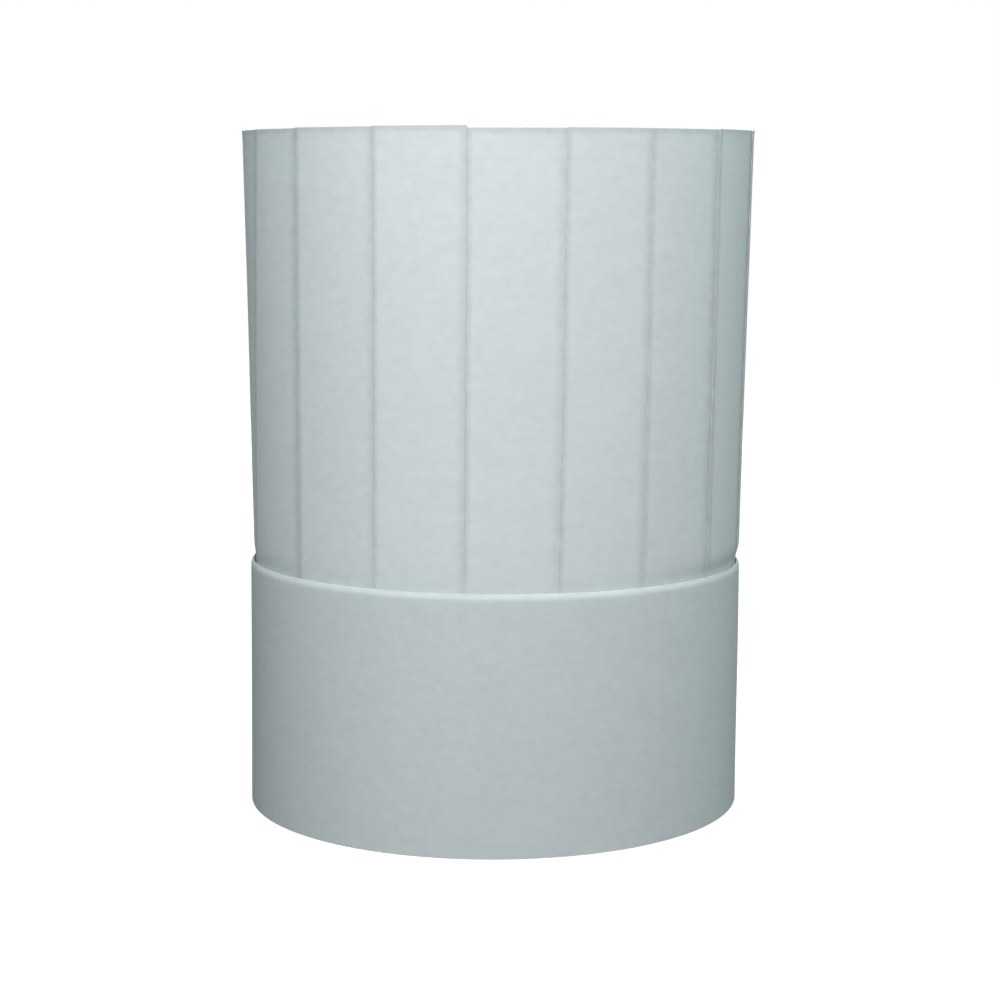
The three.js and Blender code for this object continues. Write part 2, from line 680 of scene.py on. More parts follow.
@dataclass(frozen=True)
class StripRow:
    """One line along the wall's strip.

    Attributes:
        height: Its height on the hat.
        inset: How far inside the wall's surface it lies, or outside it where negative.
        painted_shade: How strongly painted shade shows on it, from 0 to 1.
    """

    height: float
    inset: float
    painted_shade: float


@dataclass(frozen=True)
class PaintedShadeStep:
    """One step of the painted shade along a fold.

    Attributes:
        away_mm: How far from the fold the step is, in millimetres.
        strength: How strongly the line shows there, from 0 to 1.
    """

    away_mm: float
    strength: float


@dataclass(frozen=True)
class Fullness:
    """How much fuller than a circle one side of the wall stands.

    Attributes:
        above: The extra radius just above the band.
        rim: The extra radius at the rim.
    """

    above: float
    rim: float


@dataclass(frozen=True)
class PanelRise:
    """How high one panel's upper edge stands at the rim.

    Attributes:
        fold: The angle of the panel's fold at the rim, in degrees.
        rise_mm: How far its edge stands above the hat's height, or below it where negative.
    """

    fold: float
    rise_mm: float


@dataclass
class PleatedWall:
    """The tall wall: one strip of paper in knife pleats, its ends hidden inside a pleat.

    Attributes:
        sizes: The hat's sizes.
        paper: The thickness of the paper.
        sheet_pitch: The distance from one sheet of a pleat to the next.
        underlap: How far the paper runs on beneath a fold.
        support_margin: How far past the doubled paper a panel starts to sink.
        panel_bow: How much flatter than the circle a panel is in its middle.
        bow_unlike: How unlike each other the panels' bows are.
        bow_step: How far apart the panels are in the pattern of that.
        bow_wavelength: The length over which that changes up the panel.
        panel_columns: The number of steps across the plain part of a panel.
        doubled_columns: The number of steps across the paper doubled back in a pleat.
        turn_columns: The number of steps round a fold.
        fold_wander: How far a fold strays to the side of its straight line.
        wander_wavelength: The length over which it strays.
        fold_lift: How far a folded edge stands off the panel beneath it.
        lift_reach: How far from the edge the lift reaches.
        lift_wavelength: The height over which the lift changes and comes in above the band.
        lifted_depth: The number of sheets below which the paper isn't lifted.
        spring: How much wider than the frame the rim springs.
        wave: The size of the wall's gentle unevenness.
        wave_turns: How closely that follows itself round the hat.
        wave_wavelength: The length over which it changes up the wall.
        wave_free: The height above the band at which the wall waves freely.
        under_trim: How much lower than the panels the hidden paper is cut at the rim.
        rim_reach: The height below the rim within which the steps of its edge come in.
        row_step: The largest height from one row of points to the next.
        tuck_rows: The number of rows inside the band.
        free_rows: The number of rows in the stretch where the wall comes out of the band.
        left_fullness: The fullness at the hat's left-hand side, on the right in the photo.
        right_fullness: The fullness at its right-hand side.
        fullness_start: How far above the band it starts.
        fullness_rise: The height over which it grows to its full size.
        past_the_rise: How much higher the closer rows of points go on.
        shade_before_fold: The painted shade on the panel that runs in under a fold, nearing the
            fold.
        shade_after_fold: The painted shade on a fold's own panel, going away from the fold.
        side_shade: How much wider and darker the painted shade along the folds is at the hat's
            sides.
        side_from: The sine of the angle from the front where they start to be so.
        side_full: The sine of the angle where they are fully so.
        rim_profile: The section of the cut edge, which turns out very slightly.
        rim_shade: How strongly painted shade shows on the turned-out cut edge at the rim.
        rim_inset_full_mm: The turn-out at which it shows fully.
        edge_shade: How strongly painted shade shows on both sides of a folded edge.
        under_shares: The places of the points beneath a fold, as shares of the underlap.
        band_shade: How strongly painted shade shows on the wall next to the band's edge.
        band_shade_reach: The height over which that painted shade fades.
        panel_rises: The panels whose upper edges the photo shows, with their rises.
        other_rise: The size of the other panels' rises.
    """

    sizes: HatSizes
    paper: float = 0.16 * MM
    sheet_pitch: float = 0.225 * MM
    underlap: float = 10 * MM
    support_margin: float = 1.5 * MM
    panel_bow: float = 0.35 * MM
    bow_unlike: float = 0.5
    bow_step: float = 1.7
    bow_wavelength: float = 160 * MM
    panel_columns: int = 13
    doubled_columns: int = 4
    turn_columns: int = 5
    fold_wander: float = 0.22 * MM
    wander_wavelength: float = 45 * MM
    fold_lift: float = 0.02 * MM
    lift_reach: float = 3.0 * MM
    lift_wavelength: float = 30 * MM
    lifted_depth: float = 1.2
    spring: float = 0.30 * MM
    wave: float = 0.30 * MM
    wave_turns: float = 1.6
    wave_wavelength: float = 110 * MM
    wave_free: float = 50 * MM
    under_trim: float = 0.15 * MM
    rim_reach: float = 40 * MM
    row_step: float = 4.0 * MM
    tuck_rows: int = 4
    free_rows: int = 6
    left_fullness: Fullness = Fullness(above=1.34 * MM, rim=0.22 * MM)
    right_fullness: Fullness = Fullness(above=0.62 * MM, rim=0.18 * MM)
    fullness_start: float = 0.5 * MM
    fullness_rise: float = 6.5 * MM
    past_the_rise: float = 2 * MM
    # Painted shade on each side of a fold, standing in for the shadow where the paper folds.
    shade_before_fold: tuple[PaintedShadeStep, ...] = (
        PaintedShadeStep(3.8, 0.0),
        PaintedShadeStep(3.0, 0.06),
        PaintedShadeStep(2.3, 0.15),
        PaintedShadeStep(1.7, 0.26),
        PaintedShadeStep(1.2, 0.37),
        PaintedShadeStep(0.7, 0.44),
        PaintedShadeStep(0.3, 0.45),
    )
    shade_after_fold: tuple[PaintedShadeStep, ...] = (
        PaintedShadeStep(0.25, 0.55),
        PaintedShadeStep(0.6, 0.48),
        PaintedShadeStep(1.0, 0.36),
        PaintedShadeStep(1.5, 0.17),
        PaintedShadeStep(2.2, 0.0),
    )
    side_shade: float = 0.5
    side_from: float = 0.6
    side_full: float = 0.8
    rim_profile: tuple[EdgePoint, ...] = (
        EdgePoint(2.6, 0.0),
        EdgePoint(1.9, -0.01),
        EdgePoint(1.4, -0.04),
        EdgePoint(0.9, -0.07),
        EdgePoint(0.4, -0.10),
        EdgePoint(0.0, -0.12),
    )
    # Painted shade: on the rim's turned-out edge, on both sides of folded edges, and on the wall
    # next to the band's edge.
    rim_shade: float = 0.24
    rim_inset_full_mm: float = 0.05
    edge_shade: float = 0.50
    under_shares: tuple[float, ...] = (0.0, 0.05, 0.15, 0.3, 0.5, 0.75, 1.0)
    band_shade: float = 0.42
    band_shade_reach: float = 4.5 * MM
    panel_rises: tuple[PanelRise, ...] = (
        PanelRise(-66.0, 0.10),
        PanelRise(-48.0, 0.32),
        PanelRise(-26.6, 0.55),
        PanelRise(-6.3, -0.30),
        PanelRise(14.1, -0.12),
        PanelRise(33.8, -0.15),
    )
    other_rise: float = 0.15 * MM

    def build(self) -> bpy.types.Object:
        """Fold the strip, thicken it and dress it.

        Returns:
            The finished wall.
        """
        columns = self.strip_columns()
        rows = self.strip_rows()
        wall = flat_sheet("crown_wall_paper", len(columns), len(rows))
        length, width = fold_sheet(
            wall,
            len(columns),
            len(rows),
            lambda column, row: self.place(columns[column], rows[row]),
            lambda column, row: max(columns[column].painted_shade, rows[row].painted_shade),
        )
        thicken(wall, self.paper)
        hand_in(wall, "crown_wall", CROWN_PAPER)
        log.info("wall strip: %.0f by %.0f mm flat", length / MM, width / MM)
        return wall

    def strip_columns(self) -> list[StripColumn]:
        """Lay out the strip's pleats one after another.

        Returns:
            All lines up the strip, from its first hidden end round the hat to its last.
        """
        columns: list[StripColumn] = []
        for fold in range(self.sizes.fold_count):
            rise = self.rise_of(fold)
            columns += self.doubled_back(fold, rise)
            columns += self.folded_edge(fold, rise)
            columns += self.panel(fold, rise)
            columns += self.under_next(fold + 1, rise)
            if fold + 1 < self.sizes.fold_count:
                columns += self.hidden_turn(fold + 1, rise)
        return columns

    def rise_of(self, fold: int) -> float:
        """How far a panel's upper edge stands up.

        Args:
            fold: The number of the panel's fold.

        Returns:
            The rise above the hat's height, negative where the edge is lower.
        """
        near_enough = 3
        panels_per_wave = 1.37
        angle = math.degrees(self.sizes.wall[-1].folds[fold % self.sizes.fold_count])
        for panel in self.panel_rises:
            if abs(angle - panel.fold) < near_enough:
                return panel.rise_mm * MM
        return self.other_rise * drift(Pattern.PANEL_RISE, fold * panels_per_wave)

    def doubled_back(self, fold: int, rise: float) -> list[StripColumn]:
        """The stretch inside a pleat that comes back to the folded edge.

        Args:
            fold: The number of the fold.
            rise: The rise of its panel's upper edge.

        Returns:
            The stretch's lines, from inside the pleat to the edge.
        """
        depth = Sheet.DOUBLED_BACK.value
        columns = []
        for step in range(self.doubled_columns):
            reach = lerp(self.underlap, self.sheet_pitch, step / self.doubled_columns)
            # Painted shade, growing towards the folded edge.
            painted_shade = self.edge_shade * step / self.doubled_columns
            columns.append(StripColumn(fold, 0, reach, depth, 1, painted_shade, rise))
        return columns

    def folded_edge(self, fold: int, rise: float) -> list[StripColumn]:
        """The half turn at a folded edge, from the doubled-back sheet to the outside one.

        Args:
            fold: The number of the fold.
            rise: The rise of its panel's upper edge.

        Returns:
            The turn's lines, from the inside to the outside.
        """
        columns = []
        for step in range(self.turn_columns + 1):
            turn = math.pi * step / self.turn_columns
            reach = self.sheet_pitch * (1 - math.sin(turn) / 2)
            inwards = (1 + math.cos(turn)) / 2
            depth = lerp(Sheet.OUTSIDE.value, Sheet.DOUBLED_BACK.value, inwards)
            # Painted shade, darkest on the turn of the edge.
            painted_shade = lerp(self.edge_shade, 1.0, math.sin(turn))
            columns.append(StripColumn(fold, 0, reach, depth, inwards, painted_shade, rise))
        return columns

    def panel(self, fold: int, rise: float) -> list[StripColumn]:
        """The visible panel: first on its own doubled paper, then sinking to the next fold.

        Args:
            fold: The number of the panel's fold.
            rise: The rise of its upper edge.

        Returns:
            The panel's lines, from its own fold to the next.
        """
        # Painted shade beside the folds, wider and darker towards the hat's sides.
        here = self.side_shade_of(fold)
        ahead = self.side_shade_of(fold + 1)
        after = []
        for mark in self.shade_after_fold:
            reach = self.sheet_pitch + mark.away_mm * MM * here
            after.append(StripColumn(fold, 0, reach, None, 0, mark.strength * here, rise))
        before = []
        for mark in self.shade_before_fold:
            reach = -mark.away_mm * MM * ahead
            before.append(StripColumn(fold, 1, reach, None, 0, mark.strength * ahead, rise))
        middle = []
        for step in range(1, self.panel_columns):
            share = step / self.panel_columns
            reach = lerp(after[-1].reach, before[0].reach, share)
            middle.append(StripColumn(fold, share, reach, None, 0, 0, rise))
        return [*after, *middle, *before]

    def side_shade_of(self, fold: int) -> float:
        """How much wider and darker the painted shade along a fold is than in front, as at the
        sides.

        Args:
            fold: The fold's number.

        Returns:
            The factor on the line's width and strength.
        """
        angle = self.sizes.wall[-1].folds[fold % self.sizes.fold_count]
        sideways = ease(abs(math.sin(angle)), self.side_from, self.side_full)
        return 1 + self.side_shade * sideways

    def under_next(self, fold: int, rise: float) -> list[StripColumn]:
        """The end of a panel, flat beneath the next fold and no higher than that fold's panel.

        Args:
            fold: The number of the fold that it lies beneath.
            rise: The rise of the panel's upper edge.

        Returns:
            The stretch's lines, from the fold inwards.
        """
        just_under, unpressed = 0.05, 0.3
        depth = Sheet.UNDERNEATH.value
        lower = min(rise, self.rise_of(fold))
        columns = []
        for share in self.under_shares:
            # Painted shade, fading away from the fold above.
            painted_shade = self.edge_shade * (1 - ease(share, just_under, unpressed))
            reach = self.underlap * share
            here = lerp(rise, lower, ease(share, 0, just_under))
            columns.append(StripColumn(fold, 0, reach, depth, 1, painted_shade, here))
        return columns

    def hidden_turn(self, fold: int, rise: float) -> list[StripColumn]:
        """The half turn inside a pleat, from the sheet beneath to the doubled-back one.

        Args:
            fold: The number of the fold above it.
            rise: The rise of the panel that the sheet beneath belongs to.

        Returns:
            The turn's lines, in the strip's order.
        """
        above = self.rise_of(fold)
        lower = min(rise, above)
        columns = []
        for step in range(1, self.turn_columns):
            turn = math.pi * step / self.turn_columns
            reach = self.underlap + self.sheet_pitch * math.sin(turn) / 2
            depth = (3 + math.cos(turn)) / 2
            # Painted shade, darkest in the middle of the hidden turn.
            painted_shade = self.edge_shade * math.sin(turn)
            here = lerp(lower, above, step / self.turn_columns)
            columns.append(StripColumn(fold, 0, reach, depth, 1, painted_shade, here))
        return columns

    def strip_rows(self) -> list[StripRow]:
        """Lay out the strip's rows, closer together where the wall comes out of the band.

        Returns:
            All lines along the strip, from its foot inside the band to its cut edge at the rim.
        """
        sizes = self.sizes
        edge = sizes.band_height
        top = sizes.height - self.rim_profile[0].down * MM
        free = edge + self.fullness_rise + self.past_the_rise
        tucked, freed = self.tuck_rows, self.free_rows
        heights = [lerp(sizes.wall_foot, edge, step / tucked) for step in range(tucked + 1)]
        heights += [lerp(edge, free, step / freed) for step in range(1, freed + 1)]
        count = math.ceil((top - heights[-1]) / self.row_step)
        heights += [lerp(heights[-1], top, step / count) for step in range(1, count)]
        rows = []
        for height in heights:
            # Painted shade on the wall next to the band's edge, fading above and below it.
            painted_shade = self.band_shade * math.exp(-abs(height - edge) / self.band_shade_reach)
            rows.append(StripRow(height, 0.0, painted_shade))
        for point in self.rim_profile:
            # Painted shade on the rim's turned-out cut edge.
            painted_shade = self.rim_shade * ease(-point.inset, 0, self.rim_inset_full_mm)
            rows.append(StripRow(sizes.height - point.down * MM, point.inset * MM, painted_shade))
        return rows

    def radius_at(self, height: float) -> float:
        """The circle of the folds: straight in section above the band, pressed in inside it.

        Args:
            height: The height on the wall.

        Returns:
            The circle's radius.
        """
        sizes = self.sizes
        rim = sizes.wall[-1].radius + self.spring
        share = (height - sizes.band_height) / (sizes.height - sizes.band_height)
        return lerp(sizes.wall[0].radius, rim, clamp(share))

    def fullness_at(self, angle: float, height: float) -> float:
        """How much fuller than a circle the wall stands at its sides, above the band.

        Args:
            angle: The angle from the front.
            height: The height on the wall.

        Returns:
            The extra distance from the axis.
        """
        sizes = self.sizes
        side = self.left_fullness if math.sin(angle) > 0 else self.right_fullness
        start = sizes.band_height + self.fullness_start
        share = clamp((height - start) / (sizes.height - start))
        grown = ease(height, start, start + self.fullness_rise)
        return grown * lerp(side.above, side.rim, share) * math.sin(angle) ** 4

    def fold_place(self, fold: int, height: float) -> float:
        """The angle of a fold at a height, with the little wandering of a hand-fed fold.

        Args:
            fold: The fold's number; those past the last go round again.
            height: The height on the wall.

        Returns:
            The angle from the front.
        """
        index = fold % self.sizes.fold_count
        wander = self.fold_wander * drift(
            Pattern.FOLD_WANDER, height / self.wander_wavelength, copy=index
        )
        return self.sizes.fold_angle(fold, height) + wander / self.radius_at(height)

    def place(self, column: StripColumn, row: StripRow) -> Vector:
        """Where the point of a column and a row lies on the finished wall.

        Args:
            column: The line up the strip.
            row: The line along the strip.

        Returns:
            The point on the middle of the paper.
        """
        height = row.height
        radius = self.radius_at(height)
        here = self.fold_place(column.fold, height)
        width = (self.fold_place(column.fold + 1, height) - here) * radius
        along = column.share * width + column.reach
        angle = here + along / radius
        share = clamp(along / width)
        index = column.fold % self.sizes.fold_count
        unlike = drift(Pattern.PANEL_BOW, index * self.bow_step, height / self.bow_wavelength)
        bow = self.panel_bow * (1 + self.bow_unlike * unlike)
        parabola = 4 * share * (1 - share)
        depth = self.paper / 2 + bow * parabola
        depth -= self.lift_of(column, along, height)
        if column.depth is None:
            supported = self.underlap + self.support_margin
            sinking = clamp((along - supported) / (width - supported))
            depth += Sheet.UNDERNEATH.value * self.sheet_pitch * sinking
        else:
            depth += column.depth * self.sheet_pitch
        depth += row.inset * (1 - column.hidden)
        near_rim = ease(height, self.sizes.height - self.rim_reach, self.sizes.height)
        top = height + (column.rise - self.under_trim * column.hidden) * near_rim
        unevenness = self.fullness_at(angle, height) + self.wave_at(angle, height)
        return on_hat(radius - depth + unevenness, angle, top)

    def lift_of(self, column: StripColumn, along: float, height: float) -> float:
        """How far a folded edge stands off the panel beneath it.

        Args:
            column: The line up the strip.
            along: How far round the wall from the edge the point is.
            height: The height on the wall.

        Returns:
            The lift at the point, which is none for the sheets beneath.
        """
        if column.depth is not None and column.depth > self.lifted_depth and column.share == 0:
            return 0.0
        index = column.fold % self.sizes.fold_count
        edge = self.sizes.band_height
        free = ease(height, edge, edge + self.lift_wavelength)
        unlike = drift(Pattern.FOLD_LIFT, height / self.lift_wavelength, copy=index)
        lift = self.fold_lift * (1 + unlike)
        return lift * free * math.exp(-along / self.lift_reach)

    def wave_at(self, angle: float, height: float) -> float:
        """The wall's gentle unevenness, which dies out where the band holds it.

        Args:
            angle: The angle from the front.
            height: The height on the wall.

        Returns:
            How much further out the wall stands there.
        """
        free = ease(height, self.sizes.band_height, self.sizes.band_height + self.wave_free)
        across = Vector((math.sin(angle), math.cos(angle), 0)) * self.wave_turns
        up = Vector((0, 0, height / self.wave_wavelength))
        return self.wave * free * noise.noise(across + up)

    def inside_at(self, angle: float, height: float) -> float:
        """The radius inside all the wall's sheets, where the top is glued in.

        Args:
            angle: The angle from the front.
            height: The height on the wall.

        Returns:
            The distance from the axis.
        """
        sheets = self.paper + Sheet.UNDERNEATH.value * self.sheet_pitch + self.panel_bow
        unevenness = self.fullness_at(angle, height) + self.wave_at(angle, height)
        return self.radius_at(height) - sheets + unevenness


@dataclass(frozen=True)
class BandRow:
    """One line along the band's strip.

    Attributes:
        inset: How far inside the band's outer face it lies.
        height: Its height on the band.
        painted_shade: How strongly painted shade shows on it, from 0 to 1.
    """

    inset: float
    height: float
    painted_shade: float = 0.0


@dataclass
class FoldedBand:
    """The head band: one strip, its upper edge folded down inside, its ends lapped at the back.

    Attributes:
        sizes: The hat's sizes.
        paper: The thickness of the paper.
        glue: The thickness of the glue in the lap.
        lap_middle: The angle of the lap's middle.
        lap_length: How far the strip's ends lie over each other.
        lap_ramp: The length over which the outer end climbs on to the inner one.
        edge_profile: The section of the folded upper edge, from the outer face over the crest.
        fold_down: How far the folded-over paper reaches down inside.
        fold_down_inset: How far inside the outer face its end lies.
        fold_down_rows: The number of rows on it.
        crest_shade: How strongly painted shade shows on the crest, dulling the light that falls on
            it.
        crest_shade_down: How far below the crest that painted shade fades out, in millimetres.
        edge_higher_in_front: How much higher than the frame the upper edge is in front.
        edge_lower_at_left: How much lower it is at the hat's left-hand side.
        column_step: The largest length from one column of points to the next.
        row_step: The largest height from one row of points to the next.
        print_depth: How deep the pleats beneath print through the band.
        print_dip: How far before a fold its print starts.
        print_core: How far before the fold it is at its deepest.
        print_fade: How far past the fold it fades out.
        print_reach: How far down from the upper edge it can be seen.
        print_shade: How strongly it shows as painted shade in the paper's colour.
        wave: The size of the band's gentle unevenness.
        wave_turns: How closely that follows itself round the band.
        wave_slice: Which slice of the noise it is.
        wave_wavelength: The length over which it changes up the band.
        foot_hold: The height by which it has come in, above the still foot.
        edge_hold: The share of it that the folded edge holds back.
        edge_hold_from: The height from which the edge holds it.
        edge_hold_full: The height at which the edge holds it fully.
    """

    sizes: HatSizes
    paper: float = 0.34 * MM
    glue: float = 0.06 * MM
    lap_middle: float = math.pi
    lap_length: float = 40 * MM
    lap_ramp: float = 12 * MM
    edge_profile: tuple[EdgePoint, ...] = (
        EdgePoint(5.0, 0.0),
        EdgePoint(3.6, 0.0),
        EdgePoint(2.8, 0.0),
        EdgePoint(2.3, 0.005),
        EdgePoint(1.9, 0.03),
        EdgePoint(1.5, 0.08),
        EdgePoint(1.15, 0.16),
        EdgePoint(0.82, 0.27),
        EdgePoint(0.52, 0.40),
        EdgePoint(0.28, 0.53),
        EdgePoint(0.12, 0.63),
        EdgePoint(0.03, 0.71),
        EdgePoint(0.0, 0.77),
        EdgePoint(0.04, 0.83),
        EdgePoint(0.16, 0.88),
        EdgePoint(0.45, 0.90),
    )
    fold_down: float = 12 * MM
    fold_down_inset: float = 0.80 * MM
    fold_down_rows: int = 4
    # Painted shade on the crest of the folded edge.
    crest_shade: float = 0.75
    crest_shade_down: float = 0.9
    edge_higher_in_front: float = 1.2 * MM
    edge_lower_at_left: float = 0.5 * MM
    column_step: float = 1.25 * MM
    row_step: float = 3.2 * MM
    print_depth: float = 0.08 * MM
    print_dip: float = 3.6 * MM
    print_core: float = 0.6 * MM
    print_fade: float = 1.4 * MM
    print_reach: float = 15 * MM
    # Painted shade along the print of the pleats.
    print_shade: float = 0.10
    wave: float = 0.22 * MM
    wave_turns: float = 1.9
    wave_slice: float = 4.0
    wave_wavelength: float = 70 * MM
    foot_hold: float = 25 * MM
    edge_hold: float = 0.7
    edge_hold_from: float = 60 * MM
    edge_hold_full: float = 90 * MM

    def build(self) -> bpy.types.Object:
        """Fold the strip into a ring, thicken it and dress it.

        Returns:
            The finished band.
        """
        round_it = math.tau * self.sizes.band_foot_radius
        length = round_it + self.lap_length
        count = math.ceil(length / self.column_step) + 1
        places = [length * step / (count - 1) for step in range(count)]
        rows = self.strip_rows()
        band = flat_sheet("head_band_paper", count, len(rows))
        flat_length, flat_width = fold_sheet(
            band,
            count,
            len(rows),
            lambda column, row: self.place(places[column], rows[row], round_it),
            lambda column, row: self.painted_shade_at(places[column], rows[row]),
        )
        thicken(band, self.paper)
        hand_in(band, "head_band", BAND_PAPER)
        log.info("band strip: %.0f by %.0f mm flat", flat_length / MM, flat_width / MM)
        return band

    def strip_rows(self) -> list[BandRow]:
        """The band's section, from its foot up over the folded edge and down inside.

        Returns:
            All lines along the strip, in that order.
        """
        crest = self.sizes.band_height - self.paper / 2
        wall_top = crest - self.edge_profile[0].down * MM
        count = math.ceil(wall_top / self.row_step)
        rows = [BandRow(0.0, wall_top * step / count) for step in range(count)]
        for point in self.edge_profile:
            # Painted shade on the crest, fading below it.
            painted_shade = self.crest_shade * (1 - ease(point.down, 0, self.crest_shade_down))
            rows.append(BandRow(point.inset * MM, crest - point.down * MM, painted_shade))
        last = rows[-1]
        for step in range(1, self.fold_down_rows + 1):
            share = step / self.fold_down_rows
            inset = lerp(last.inset, self.fold_down_inset, share)
            rows.append(BandRow(inset, last.height - self.fold_down * share))
        return rows

    def angle_at(self, along: float) -> float:
        """The angle at which a place along the strip lies."""
        start = self.lap_middle + self.lap_length / 2 / self.sizes.band_foot_radius
        return start - along / self.sizes.band_foot_radius

    def place(self, along: float, row: BandRow, round_it: float) -> Vector:
        """Where a point of the strip lies on the finished band.

        Args:
            along: How far along the strip the point is, from its inner end.
            row: The line along the strip that it is on.
            round_it: The length of one turn round the band.

        Returns:
            The point on the middle of the paper.
        """
        sizes = self.sizes
        angle = self.angle_at(along)
        tilt = self.edge_higher_in_front * math.cos(angle)
        tilt -= self.edge_lower_at_left * math.sin(angle)
        height = row.height * (1 + tilt / sizes.band_height)
        share = clamp(row.height / sizes.band_height)
        outside = lerp(sizes.band_foot_radius, sizes.band_edge_radius, share)
        over = ease(along, round_it - self.lap_ramp, round_it) * (self.paper + self.glue)
        radius = outside - self.paper / 2 - row.inset + over
        radius -= self.print_depth * self.printed(angle, row.height)
        radius += self.wave_at(angle, row.height)
        return on_hat(radius, angle, height)

    def painted_shade_at(self, along: float, row: BandRow) -> float:
        """How strongly painted shade shows on the strip: on the folded edge's crest and along the
        print of the pleats.
        """
        # Painted shade along the print of the pleats, and on the crest.
        printed_shade = self.print_shade * self.printed(self.angle_at(along), row.height)
        return max(row.painted_shade, printed_shade)

    def printed(self, angle: float, height: float) -> float:
        """How strongly the pleats beneath show through the band.

        Args:
            angle: The angle from the front.
            height: The height on the band.

        Returns:
            The strength, from 0 to 1.
        """
        covered = ease(height, self.sizes.band_height - self.print_reach, self.sizes.band_height)
        if covered == 0:
            return 0.0
        deepest = 0.0
        for fold in range(self.sizes.fold_count):
            off = angle - self.sizes.fold_angle(fold, height)
            away = ((off + math.pi) % math.tau - math.pi) * self.sizes.band_edge_radius
            if away <= 0:
                deepest = max(deepest, ease(away, -self.print_dip, -self.print_core))
            else:
                deepest = max(deepest, 1 - ease(away, 0, self.print_fade))
        return covered * deepest

    def wave_at(self, angle: float, height: float) -> float:
        """The band's gentle unevenness, less at its folded edge and none at its foot.

        Args:
            angle: The angle from the front.
            height: The height on the band.

        Returns:
            How much further out the band stands there.
        """
        held = self.edge_hold * ease(height, self.edge_hold_from, self.edge_hold_full)
        free = ease(height, 0, self.foot_hold) * (1 - held)
        across = Vector((math.sin(angle), math.cos(angle), self.wave_slice)) * self.wave_turns
        up = Vector((0, 0, height / self.wave_wavelength))
        return self.wave * free * noise.noise(across + up)


